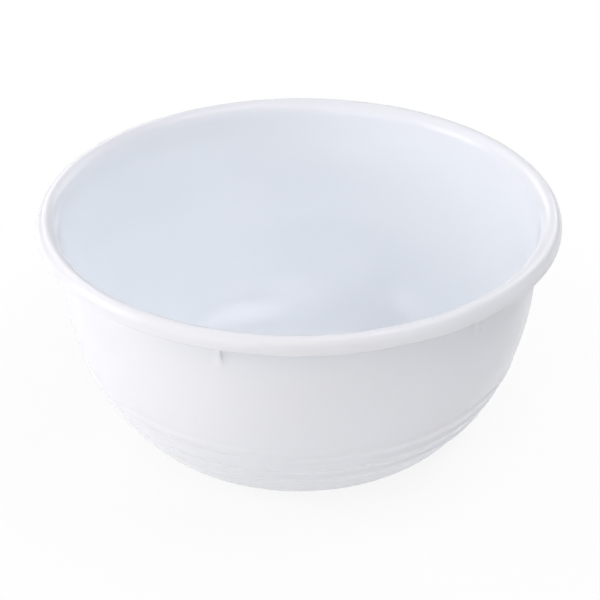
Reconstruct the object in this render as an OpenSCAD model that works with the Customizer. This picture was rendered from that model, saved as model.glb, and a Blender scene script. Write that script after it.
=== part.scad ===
// Salad bowl: one round plastic moulding with a turned-over lip and a ringed foot.
// Millimetres, +Z up. The origin is on the table, on the bowl's axis, and the front is -Y.

/* [Bowl] */
// Diameter over the lip
rim_d = 280; // [250:1:340]
// Height from the table to the top of the rim
height = 132; // [115:1:170]
// Thickness of the wall and of the lip
wall = 2; // [1.2:0.1:3]
// Diameter of the base, where the rounded wall would meet the table
base_d = 169; // [150:1:190]
// Height at which the upright wall starts to round in
belly_z = 88; // [70:0.5:105]
// Lean of the upright wall, in degrees
draft = 4.8; // [1:0.1:6]

/* [Lip] */
// How far the lip stands out from the top of the wall
lip_reach = 9.4; // [8:0.1:14]
// Width of the lip's outer shoulder, from the crest to the outside
shoulder_w = 4.5; // [3.5:0.1:6]
// Height of the lip's outer shoulder
shoulder_h = 6.5; // [5:0.1:9]
// Height of the straight edge below the shoulder
skirt_h = 0.5; // [0.2:0.1:5]
// Height of the rounding from the crest down to the inside of the wall
roll_h = 8; // [6:0.1:14]

/* [Stacking ribs] */
// Number of ribs under the lip
rib_count = 6; // [3:1:12]
// Width of a rib
rib_w = 1.8; // [1:0.1:4]
// How far a rib stands out from the top of the wall
rib_proud = 1.2; // [0.8:0.1:3]
// Depth of a rib's lower end below the crest of the lip
rib_depth = 17.5; // [14:0.1:26]
// Direction of the first rib, in degrees to the right of the front
rib_turn = -17; // [-30:1:30]

/* [Foot] */
// Number of rings round the foot
ring_count = 3; // [1:1:4]
// Distance from ring to ring, along the wall
ring_pitch = 12.3; // [9:0.1:14]
// Height of a ring above the hollows beside it
ring_h = 0.8; // [0.2:0.1:1.4]
// Width of the plain band between the rounded edge of the base and the lowest ring
ring_start = 11.2; // [1:0.1:12]
// Radius of the outside edge of the base
edge_r = 40; // [10:0.5:45]
// Width of the flat ring that the bowl stands on
land_w = 6; // [3:0.1:12]
// Depth of the hollow under the base
hollow_h = 1.2; // [0.4:0.1:3]
// Thickness of the floor
floor_t = 2.2; // [1.6:0.1:4]
// Radius between the floor and the wall, inside
heel_r = 38; // [10:0.5:45]
// Diameter of the dished moulding mark under the floor
mark_d = 9; // [5:0.1:20]
// Depth of the moulding mark
mark_h = 0.5; // [0.2:0.1:1]

/* [Hidden] */
plastic = [0.93, 0.94, 0.97];
// Chords in a short arc, in the inside of the wall and in its ringed outside
short_steps = 10;
inside_steps = 20;
outside_steps = 80;
$fn = 180;

rim_r = rim_d / 2;
floor_z = hollow_h + floor_t;

// In section the upper wall is a straight line, whose inward normal tips up with the draft.
inward = [-cos(draft), sin(draft)];
wall_top = [rim_r - lip_reach, height - shoulder_h];
belly = wall_top - (wall_top.y - belly_z) * [tan(draft), 1];

// The lower wall is the arc that leaves that line smoothly and ends at the base.
to_base = [base_d / 2, 0] - belly;
belly_r = to_base * to_base / (2 * to_base * inward);
centre = belly + belly_r * inward;

// The lip is two quarter ellipses that meet at its crest: a shoulder outside, a roll inside.
shoulder = [rim_r - shoulder_w, height - shoulder_h];
roll = [rim_r - shoulder_w, height - roll_h];
rib_r = wall_top.x + rib_proud;
rib_z = height - rib_depth;

// Points of an elliptical arc, without its last point
function arc(c, a, b, from, to, steps) =
    [for (i = [0:steps - 1]) let (t = from + (to - from) * i / steps) c + [a * cos(t), b * sin(t)]];

// Half height and half width of the roll, sunk below the inside face of the bowl.
// The width is the one at which the roll runs smoothly into the wall.
function roll_b(sunk) = roll_h - sunk;
function roll_reach(sunk) = wall - sunk - (roll - belly) * inward;
function roll_a(sunk) = sqrt(roll_reach(sunk) ^ 2 - (roll_b(sunk) * sin(draft)) ^ 2) / cos(draft);
function roll_end(sunk) = atan2(roll_b(sunk) * sin(draft), -roll_a(sunk) * cos(draft));

// Centre of the rounding between an arc about the wall's centre and a level line
function corner(arc_r, level, r) =
    [centre.x + sqrt((arc_r - r) ^ 2 - (centre.y - level - r) ^ 2), level + r];
function turn_to(p) = atan2(p.y - centre.y, p.x - centre.x);

// Height of the rings at a distance up the wall from the base's edge: a wave with steep sides,
// level beyond its ends
function ring(up) =
    let (n = (up - ring_start) / ring_pitch, wave = (1 - cos(360 * n)) / 2)
    n > 0 && n < ring_count ? ring_h * wave ^ 2 * (3 - 2 * wave) : 0;

function ringed_wall(from, to) =
    [for (i = [0:outside_steps - 1])
        let (t = from + (to - from) * i / outside_steps, up = belly_r * (t - from) * PI / 180)
        centre + (belly_r + ring(up)) * [cos(t), sin(t)]];

// Underside of the base and outside of the wall, from the axis up to the lip
function outside() =
    let (edge = corner(belly_r, 0, edge_r), land = edge.x - land_w)
    concat(
        arc([0, hollow_h], mark_d / 2, mark_h, 90, 0, short_steps),
        [[mark_d / 2, hollow_h], [land - hollow_h, hollow_h], [land, 0]],
        arc(edge, edge_r, edge_r, -90, turn_to(edge), short_steps),
        ringed_wall(turn_to(edge), -draft),
        [belly]);

// The lip, from the wall under it, round its free edge and over the crest to the inside
function lip() =
    concat(
        arc(roll, roll_a(wall), roll_b(wall), roll_end(wall), 90, short_steps),
        arc(shoulder, shoulder_w - wall, shoulder_h - wall, 90, 0, short_steps),
        arc([rim_r - wall / 2, shoulder.y - skirt_h], wall / 2, wall / 2, 180, 360, short_steps),
        [[rim_r, shoulder.y - skirt_h]],
        arc(shoulder, shoulder_w, shoulder_h, 0, 90, short_steps),
        arc(roll, roll_a(0), roll_b(0), 90, roll_end(0), short_steps),
        [roll + [roll_a(0) * cos(roll_end(0)), roll_b(0) * sin(roll_end(0))]]);

// Inside of the wall and the floor, from the lip down to the axis
function inside() =
    let (inner_r = belly_r - wall, heel = corner(inner_r, floor_z, heel_r))
    concat(
        arc(centre, inner_r, inner_r, -draft, turn_to(heel), inside_steps),
        arc(heel, heel_r, heel_r, turn_to(heel), -90, short_steps),
        [[heel.x, floor_z], [0, floor_z]]);

// One rib in section: upright outside, and sunk to the middle of the wall and of the lip
module rib_section() {
    sunk = wall / 2;
    from = acos((rib_r - roll.x) / roll_a(sunk));
    wall_r = belly.x + (rib_z - belly.y) * tan(draft) - sunk / cos(draft);
    polygon(concat(
        [[wall_r, rib_z], [rib_r, rib_z]],
        arc(roll, roll_a(sunk), roll_b(sunk), from, roll_end(sunk), short_steps)));
}

module bowl() {
    color(plastic) {
        rotate_extrude()
            polygon(concat(outside(), lip(), inside()));
        for (i = [0:rib_count - 1])
            rotate([90, 0, rib_turn - 90 + i * 360 / rib_count])
                linear_extrude(rib_w, center = true)
                    rib_section();
    }
}

bowl();
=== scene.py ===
"""A white moulded salad bowl on a pale floor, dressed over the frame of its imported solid."""
import math

import bpy
import numpy as np
from mathutils import Matrix, Vector


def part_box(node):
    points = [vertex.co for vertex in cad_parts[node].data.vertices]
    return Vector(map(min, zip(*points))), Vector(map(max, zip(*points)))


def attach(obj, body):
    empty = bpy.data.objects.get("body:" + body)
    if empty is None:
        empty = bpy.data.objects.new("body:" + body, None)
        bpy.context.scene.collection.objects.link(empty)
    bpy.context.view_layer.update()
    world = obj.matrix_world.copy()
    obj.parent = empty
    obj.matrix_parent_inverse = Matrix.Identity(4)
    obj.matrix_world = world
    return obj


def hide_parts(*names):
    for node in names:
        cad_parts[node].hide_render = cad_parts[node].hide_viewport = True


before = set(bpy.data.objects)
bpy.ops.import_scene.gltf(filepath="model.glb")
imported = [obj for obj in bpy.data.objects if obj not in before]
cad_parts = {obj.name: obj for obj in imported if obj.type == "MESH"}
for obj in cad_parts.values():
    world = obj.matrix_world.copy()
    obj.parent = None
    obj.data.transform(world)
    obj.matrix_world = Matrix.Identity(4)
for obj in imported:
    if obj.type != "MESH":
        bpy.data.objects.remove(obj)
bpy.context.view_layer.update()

# Sizes of the bowl, in metres
BOWL_LOW, BOWL_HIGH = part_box("bowl")
HEIGHT = BOWL_HIGH.z
RIM_R = max(BOWL_HIGH.x - BOWL_LOW.x, BOWL_HIGH.y - BOWL_LOW.y) / 2
WALL = 0.002
BASE_R = 0.0845
BELLY_Z = 0.088
DRAFT = math.radians(4.8)

# The turned-over lip
LIP_REACH = 0.0094
SHOULDER_W = 0.0045
SHOULDER_H = 0.0065
SKIRT_H = 0.0005
ROLL_H = 0.008

# The stacking ribs under the lip
RIB_COUNT = 6
RIB_W = 0.0018
RIB_PROUD = 0.0012
RIB_DEPTH = 0.0175
RIB_TURN = math.radians(-17)
RIB_SOFT = 0.0005

# The foot, its rings and the underside
RING_COUNT = 3
RING_PITCH = 0.0123
RING_H = 0.0008
RING_START = 0.0112
EDGE_R = 0.040
LAND_W = 0.006
HOLLOW_H = 0.0012
FLOOR_T = 0.0022
HEEL_R = 0.038
MARK_R = 0.0045
MARK_H = 0.0005
STEP_SOFT = 0.0004

# Fineness of the mesh: columns round the axis and across a rib. Even columns within RIB_CLEAR half
# widths of a rib give way to the close ones.
TURN_STEPS = 288
RIB_STEPS = 13
RIB_CLEAR = 1.2

# Fineness of the section: steps along each stretch that has more than one
MARK_STEPS = 10
HOLLOW_STEPS = 6
LAND_STEPS = 3
EDGE_STEPS = 20
RINGED_STEPS = 96
WALL_STEPS = 8
UNDER_ROLL_STEPS = 14
UNDER_SHOULDER_STEPS = 10
FREE_EDGE_STEPS = 12
SHOULDER_STEPS = 18
ROLL_STEPS = 22
INSIDE_STEPS = 26
HEEL_STEPS = 16
FLOOR_STEPS = 4

# The plastic: two whites that lie close together, both a little blue
WHITE_DEEP = (0.877, 0.939, 0.992, 1)
WHITE_PALE = (0.89, 0.951, 0.997, 1)

# The floor of the studio: half its width, and the distances from the bowl's axis between which it
# goes from nearly white, with the bowl's shadow on it, to white
STUDIO_HALF = 6
SHADOW_R = 0.12
WHITE_R = 0.3
NEARLY_WHITE = 0.88

# The lamps: their distance, their two colours, and for each one its name, azimuth to the right of
# the front and elevation in degrees, width in metres, power in watts and colour
LAMP_DISTANCE = 1.5
WARM = (1, 0.945, 0.975)
COOL = (0.945, 0.925, 1)
LAMPS = (
    ("left_softbox", -85, 21, 0.8, 10.4, WARM),
    ("front_left_softbox", -32, 20, 0.8, 4.5, WARM),
    ("front_high_softbox", 0, 52, 0.8, 3.8, WARM),
    ("front_right_softbox", 45, 26, 0.8, 2.1, WARM),
    ("overhead_softbox", 78, 67, 0.85, 8.8, COOL),
    ("back_right_softbox", 145, 30, 0.8, 4.9, COOL),
    ("back_left_softbox", -160, 25, 0.6, 2.7, COOL),
    ("back_high_softbox", -135, 40, 0.8, 2.6, COOL),
)

# The camera, as fitted to the rim and the outline of the photographed bowl
CAMERA_ELEVATION = math.radians(30.99)
CAMERA_ROLL = math.radians(-0.29)
CAMERA_DISTANCE = 0.888
TARGET_BELOW_RIM = 0.0613
LENS = 96
SENSOR = 36
SHIFT_X = 0.0009


def arc(centre, a, b, start, end, steps):
    """Points of an elliptical arc: centre + (a cos t, b sin t), with t from start to end."""
    t = np.linspace(start, end, steps + 1)
    return np.stack([centre[0] + a * np.cos(t), centre[1] + b * np.sin(t)], axis=1)


def line(start, end, steps=1):
    """Evenly spaced points on a straight line: (1 - t) start + t end."""
    t = np.linspace(0, 1, steps + 1)[:, None]
    return (1 - t) * np.asarray(start) + t * np.asarray(end)


def smooth(x):
    """A smooth step from 0 to 1: 3 x^2 - 2 x^3."""
    x = np.clip(x, 0, 1)
    return x * x * (3 - 2 * x)


def joined(*stretches):
    """One list of points from stretches that each start where the one before ends."""
    return np.concatenate([stretches[0]] + [s[1:] for s in stretches[1:]])


class Section:
    """Points and radii of the bowl's section that more than one part of it needs.

    The upper wall is a straight line that leans out by the draft. The lower wall is the arc that
    leaves that line smoothly and meets the table at BASE_R. The lip is two quarter ellipses that
    meet at its crest: a shoulder outside and a roll inside, which runs smoothly into the wall.
    """

    inward = np.array([-math.cos(DRAFT), math.sin(DRAFT)])
    wall_top = np.array([RIM_R - LIP_REACH, HEIGHT - SHOULDER_H])
    belly = wall_top - (wall_top[1] - BELLY_Z) * np.array([math.tan(DRAFT), 1])
    to_base = np.array([BASE_R, 0]) - belly
    belly_r = to_base @ to_base / (2 * to_base @ inward)
    centre = belly + belly_r * inward
    floor_z = HOLLOW_H + FLOOR_T
    shoulder = np.array([RIM_R - SHOULDER_W, HEIGHT - SHOULDER_H])
    roll = np.array([RIM_R - SHOULDER_W, HEIGHT - ROLL_H])

    @classmethod
    def roll_axes(cls, sunk):
        """Half width and half height of the roll, sunk below the inside face, and its end angle."""
        b = ROLL_H - sunk
        reach = WALL - sunk - (cls.roll - cls.belly) @ cls.inward
        a = math.sqrt(reach ** 2 - (b * math.sin(DRAFT)) ** 2) / math.cos(DRAFT)
        return a, b, math.atan2(b * math.sin(DRAFT), -a * math.cos(DRAFT))

    @classmethod
    def corner(cls, arc_r, level, r):
        """Centre of the rounding between an arc about the wall's centre and a level line."""
        x = math.sqrt((arc_r - r) ** 2 - (cls.centre[1] - level - r) ** 2)
        return np.array([cls.centre[0] + x, level + r])

    @classmethod
    def turn_to(cls, p):
        """Angle of a point, seen from the centre of the wall's arc."""
        return math.atan2(p[1] - cls.centre[1], p[0] - cls.centre[0])


def ringed_wall(start, end, steps):
    """The lower wall's arc, raised by the rings: a cosine wave, put through a smooth step."""
    t = np.linspace(start, end, steps + 1)
    n = (Section.belly_r * (t - start) - RING_START) / RING_PITCH
    ringed = (n > 0) & (n < RING_COUNT)
    r = Section.belly_r + np.where(ringed, RING_H * smooth((1 - np.cos(2 * np.pi * n)) / 2), 0)
    return np.stack([Section.centre[0] + r * np.cos(t), Section.centre[1] + r * np.sin(t)], axis=1)


def outside_section():
    """Underside and outside wall, from the axis out and up to the underside of the lip."""
    edge = Section.corner(Section.belly_r, 0, EDGE_R)
    land = edge[0] - LAND_W
    step = np.array([land - HOLLOW_H, HOLLOW_H])
    soft = STEP_SOFT * np.array([1, -1])
    a, b, end = Section.roll_axes(WALL)
    return joined(
        arc((0, HOLLOW_H), MARK_R, MARK_H, np.pi / 2, 0, MARK_STEPS),
        line((MARK_R, HOLLOW_H), (step[0] - STEP_SOFT, HOLLOW_H), HOLLOW_STEPS),
        line((step[0] - STEP_SOFT, HOLLOW_H), step + soft),
        line(step + soft, (land - STEP_SOFT, STEP_SOFT)),
        line((land - STEP_SOFT, STEP_SOFT), (land + STEP_SOFT, 0)),
        line((land + STEP_SOFT, 0), (edge[0], 0), LAND_STEPS),
        arc(edge, EDGE_R, EDGE_R, -np.pi / 2, Section.turn_to(edge), EDGE_STEPS),
        ringed_wall(Section.turn_to(edge), -DRAFT, RINGED_STEPS),
        line(Section.belly, Section.roll + [a * math.cos(end), b * math.sin(end)], WALL_STEPS),
        arc(Section.roll, a, b, end, np.pi / 2, UNDER_ROLL_STEPS))


def lip_section():
    """The lip, from its underside round the free edge and over the crest to the inside wall."""
    edge = np.array([RIM_R - WALL / 2, Section.shoulder[1] - SKIRT_H])
    a, b, end = Section.roll_axes(0)
    return joined(
        arc(Section.shoulder, SHOULDER_W - WALL, SHOULDER_H - WALL, np.pi / 2, 0,
            UNDER_SHOULDER_STEPS),
        line((RIM_R - WALL, Section.shoulder[1]), (RIM_R - WALL, edge[1])),
        arc(edge, WALL / 2, WALL / 2, np.pi, 2 * np.pi, FREE_EDGE_STEPS),
        line((RIM_R, edge[1]), (RIM_R, Section.shoulder[1])),
        arc(Section.shoulder, SHOULDER_W, SHOULDER_H, 0, np.pi / 2, SHOULDER_STEPS),
        arc(Section.roll, a, b, np.pi / 2, end, ROLL_STEPS))


def inside_section():
    """Inside wall and floor, from the foot of the lip down and in to the axis."""
    inner_r = Section.belly_r - WALL
    heel = Section.corner(inner_r, Section.floor_z, HEEL_R)
    a, b, end = Section.roll_axes(0)
    top = Section.roll + [a * math.cos(end), b * math.sin(end)]
    wall = arc(Section.centre, inner_r, inner_r, -DRAFT, Section.turn_to(heel), INSIDE_STEPS)
    return joined(
        line(top, wall[0], WALL_STEPS),
        wall,
        arc(heel, HEEL_R, HEEL_R, Section.turn_to(heel), -np.pi / 2, HEEL_STEPS),
        line((heel[0], Section.floor_z), (0, Section.floor_z), FLOOR_STEPS))


def turn_angles():
    """Angles of the columns of the mesh: even steps, with a close group across each rib."""
    even = np.linspace(0, 2 * np.pi, TURN_STEPS, endpoint=False)
    ribs = RIB_TURN - np.pi / 2 + 2 * np.pi * np.arange(RIB_COUNT) / RIB_COUNT
    reach = (RIB_W / 2 + RIB_SOFT) / Section.wall_top[0]
    close = (ribs[:, None] + np.linspace(-reach, reach, RIB_STEPS)).ravel() % (2 * np.pi)
    off = np.abs((even[:, None] - ribs + np.pi) % (2 * np.pi) - np.pi).min(axis=1)
    return np.sort(np.concatenate([even[off > RIB_CLEAR * reach], close]))


def bowl_surface():
    """The section carried round the axis: x = r cos t, y = r sin t, z = z.

    Where a rib stands, points of the wall and of the lip's underside that lie nearer the axis than
    the rib's face move out to it, by a smooth step across the rib's width and at its lower end.
    """
    outside = outside_section()
    section = joined(outside, lip_section(), inside_section())
    r, z = section[1:-1].T
    angle = turn_angles()
    off = (angle - RIB_TURN + np.pi / 2) * RIB_COUNT / (2 * np.pi)
    off = np.abs(off - np.round(off)) * 2 * np.pi / RIB_COUNT * Section.wall_top[0]
    across = smooth((RIB_W / 2 + RIB_SOFT - off) / RIB_SOFT)
    above = smooth((z - (HEIGHT - RIB_DEPTH)) / RIB_SOFT)
    under_lip = np.arange(len(r)) < len(outside) - 1
    fill = np.where(under_lip, above * np.clip(Section.wall_top[0] + RIB_PROUD - r, 0, None), 0)
    r = r[:, None] + fill[:, None] * across
    z = np.repeat(z[:, None], len(angle), axis=1)
    grid = np.stack([r * np.cos(angle), r * np.sin(angle), z], axis=2)
    return grid, section[0], section[-1]


def closed_mesh(name, grid, first, last):
    """A mesh of rings of points, closed round the axis and shut by a fan at each end."""
    rows, columns = grid.shape[:2]
    points = np.concatenate([grid.reshape(-1, 3), [[0, 0, first[1]], [0, 0, last[1]]]])
    index = np.arange(rows * columns).reshape(rows, columns)
    after = np.roll(index, -1, axis=1)
    quads = np.stack([index[:-1], after[:-1], after[1:], index[1:]], axis=2).reshape(-1, 4)
    pole = np.full(columns, rows * columns)
    start_fan = np.stack([pole, after[0], index[0]], axis=1)
    end_fan = np.stack([pole + 1, index[-1], after[-1]], axis=1)
    mesh = bpy.data.meshes.new(name)
    mesh.from_pydata(points.tolist(), [], quads.tolist() + start_fan.tolist() + end_fan.tolist())
    mesh.polygons.foreach_set("use_smooth", np.ones(len(mesh.polygons), bool))
    mesh.update()
    return mesh


def bowl_plastic():
    """White moulded plastic: a faint blue in the white, a satin gloss and a barely uneven skin."""
    material = bpy.data.materials.new("white_plastic")
    material.use_nodes = True
    nodes, links = material.node_tree.nodes, material.node_tree.links
    shader = nodes["Principled BSDF"]
    shader.inputs["IOR"].default_value = 1.49
    shader.inputs["Specular IOR Level"].default_value = 0.32
    shader.inputs["Subsurface Weight"].default_value = 1
    shader.inputs["Subsurface Radius"].default_value = (1, 1, 1)
    shader.inputs["Subsurface Scale"].default_value = 0.002
    place = nodes.new("ShaderNodeTexCoord")

    def noise(scale, detail):
        """Soft noise on the bowl's own coordinates."""
        texture = nodes.new("ShaderNodeTexNoise")
        texture.inputs["Scale"].default_value = scale
        texture.inputs["Detail"].default_value = detail
        links.new(place.outputs["Object"], texture.inputs["Vector"])
        return texture.outputs["Fac"]

    tint = nodes.new("ShaderNodeMix")
    tint.data_type = "RGBA"
    tint.inputs["A"].default_value = WHITE_DEEP
    tint.inputs["B"].default_value = WHITE_PALE
    links.new(noise(scale=14, detail=3), tint.inputs["Factor"])
    links.new(tint.outputs["Result"], shader.inputs["Base Color"])

    gloss = nodes.new("ShaderNodeMapRange")
    gloss.inputs["To Min"].default_value = 0.2
    gloss.inputs["To Max"].default_value = 0.26
    links.new(noise(scale=60, detail=4), gloss.inputs["Value"])
    links.new(gloss.outputs["Result"], shader.inputs["Roughness"])

    skin = nodes.new("ShaderNodeBump")
    skin.inputs["Strength"].default_value = 0.02
    skin.inputs["Distance"].default_value = 0.0005
    links.new(noise(scale=900, detail=2), skin.inputs["Height"])
    links.new(skin.outputs["Normal"], shader.inputs["Normal"])
    return material


def make_bowl():
    """The bowl: one closed moulding that stands for the solid."""
    bowl = bpy.data.objects.new("salad_bowl", closed_mesh("salad_bowl", *bowl_surface()))
    bpy.context.collection.objects.link(bowl)
    bowl.data.materials.append(bowl_plastic())
    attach(bowl, "root")
    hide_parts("bowl")


def floor_white():
    """A pale floor, white to the camera and in reflections, with a faint shadow by the bowl.

    The share of plain white grows evenly with the distance from the axis, from NEARLY_WHITE at
    SHADOW_R to all of it at WHITE_R.
    """
    material = bpy.data.materials.new("floor_white")
    material.use_nodes = True
    nodes, links = material.node_tree.nodes, material.node_tree.links
    shader = nodes["Principled BSDF"]
    shader.inputs["Base Color"].default_value = (0.93, 0.93, 0.93, 1)
    shader.inputs["Roughness"].default_value = 0.9
    white = nodes.new("ShaderNodeEmission")
    path = nodes.new("ShaderNodeLightPath")
    seen = nodes.new("ShaderNodeMath")
    seen.operation = "MAXIMUM"
    links.new(path.outputs["Is Camera Ray"], seen.inputs[0])
    links.new(path.outputs["Is Glossy Ray"], seen.inputs[1])
    share = nodes.new("ShaderNodeMath")
    share.operation = "MULTIPLY"
    links.new(seen.outputs["Value"], share.inputs[0])
    place = nodes.new("ShaderNodeTexCoord")
    away = nodes.new("ShaderNodeVectorMath")
    away.operation = "LENGTH"
    links.new(place.outputs["Object"], away.inputs[0])
    whiter = nodes.new("ShaderNodeMapRange")
    whiter.inputs["From Min"].default_value = SHADOW_R
    whiter.inputs["From Max"].default_value = WHITE_R
    whiter.inputs["To Min"].default_value = NEARLY_WHITE
    whiter.inputs["To Max"].default_value = 1
    links.new(away.outputs["Value"], whiter.inputs["Value"])
    links.new(whiter.outputs["Result"], share.inputs[1])
    mix = nodes.new("ShaderNodeMixShader")
    links.new(share.outputs["Value"], mix.inputs["Fac"])
    links.new(shader.outputs["BSDF"], mix.inputs[1])
    links.new(white.outputs["Emission"], mix.inputs[2])
    links.new(mix.outputs["Shader"], nodes["Material Output"].inputs["Surface"])
    return material


def make_floor():
    """A wide flat floor at the height that the bowl stands on."""
    half = STUDIO_HALF
    corners = [(-half, -half, 0), (half, -half, 0), (half, half, 0), (-half, half, 0)]
    mesh = bpy.data.meshes.new("floor")
    mesh.from_pydata(corners, [], [(0, 1, 2, 3)])
    floor = bpy.data.objects.new("floor", mesh)
    bpy.context.collection.objects.link(floor)
    floor.data.materials.append(floor_white())


def softbox(name, azimuth, elevation, width, power, colour):
    """A square area lamp that faces the middle of the bowl."""
    a, e = math.radians(azimuth), math.radians(elevation)
    aim = Vector((0, 0, HEIGHT / 2))
    back = Vector((math.sin(a) * math.cos(e), -math.cos(a) * math.cos(e), math.sin(e)))
    lamp = bpy.data.lights.new(name, "AREA")
    lamp.size = width
    lamp.energy = power
    lamp.color = colour
    box = bpy.data.objects.new(name, lamp)
    turn = back.to_track_quat("Z", "Y").to_matrix().to_4x4()
    box.matrix_world = Matrix.Translation(aim + LAMP_DISTANCE * back) @ turn
    bpy.context.collection.objects.link(box)


def make_light():
    """A dim even surround, white to the camera, and the soft lamps.

    The warm lamps stand on the left and in front, the cool ones above and behind.
    """
    world = bpy.data.worlds.new("studio")
    world.use_nodes = True
    nodes, links = world.node_tree.nodes, world.node_tree.links
    surround = nodes["Background"]
    surround.inputs["Color"].default_value = (1, 1, 1, 1)
    surround.inputs["Strength"].default_value = 0.02
    white = nodes.new("ShaderNodeBackground")
    white.inputs["Color"].default_value = (1, 1, 1, 1)
    path = nodes.new("ShaderNodeLightPath")
    mix = nodes.new("ShaderNodeMixShader")
    links.new(path.outputs["Is Camera Ray"], mix.inputs["Fac"])
    links.new(surround.outputs["Background"], mix.inputs[1])
    links.new(white.outputs["Background"], mix.inputs[2])
    links.new(mix.outputs["Shader"], nodes["World Output"].inputs["Surface"])
    bpy.context.scene.world = world
    for lamp in LAMPS:
        softbox(*lamp)


def make_camera():
    """The camera in front of the bowl, above it and looking down at a point below the rim."""
    target = Vector((0, 0, HEIGHT - TARGET_BELOW_RIM))
    forward = Vector((0, math.cos(CAMERA_ELEVATION), -math.sin(CAMERA_ELEVATION)))
    right = Vector((1, 0, 0))
    up = right.cross(forward)
    across = math.cos(CAMERA_ROLL) * right + math.sin(CAMERA_ROLL) * up
    upright = math.cos(CAMERA_ROLL) * up - math.sin(CAMERA_ROLL) * right
    turn = Matrix((across, upright, -forward)).transposed().to_4x4()
    data = bpy.data.cameras.new("camera")
    data.lens = LENS
    data.sensor_width = SENSOR
    data.shift_x = SHIFT_X
    camera = bpy.data.objects.new("camera", data)
    camera.matrix_world = Matrix.Translation(target - CAMERA_DISTANCE * forward) @ turn
    bpy.context.collection.objects.link(camera)
    bpy.context.scene.camera = camera


make_camera()
make_bowl()
make_floor()
make_light()
bpy.context.scene.view_settings.view_transform = "Standard"
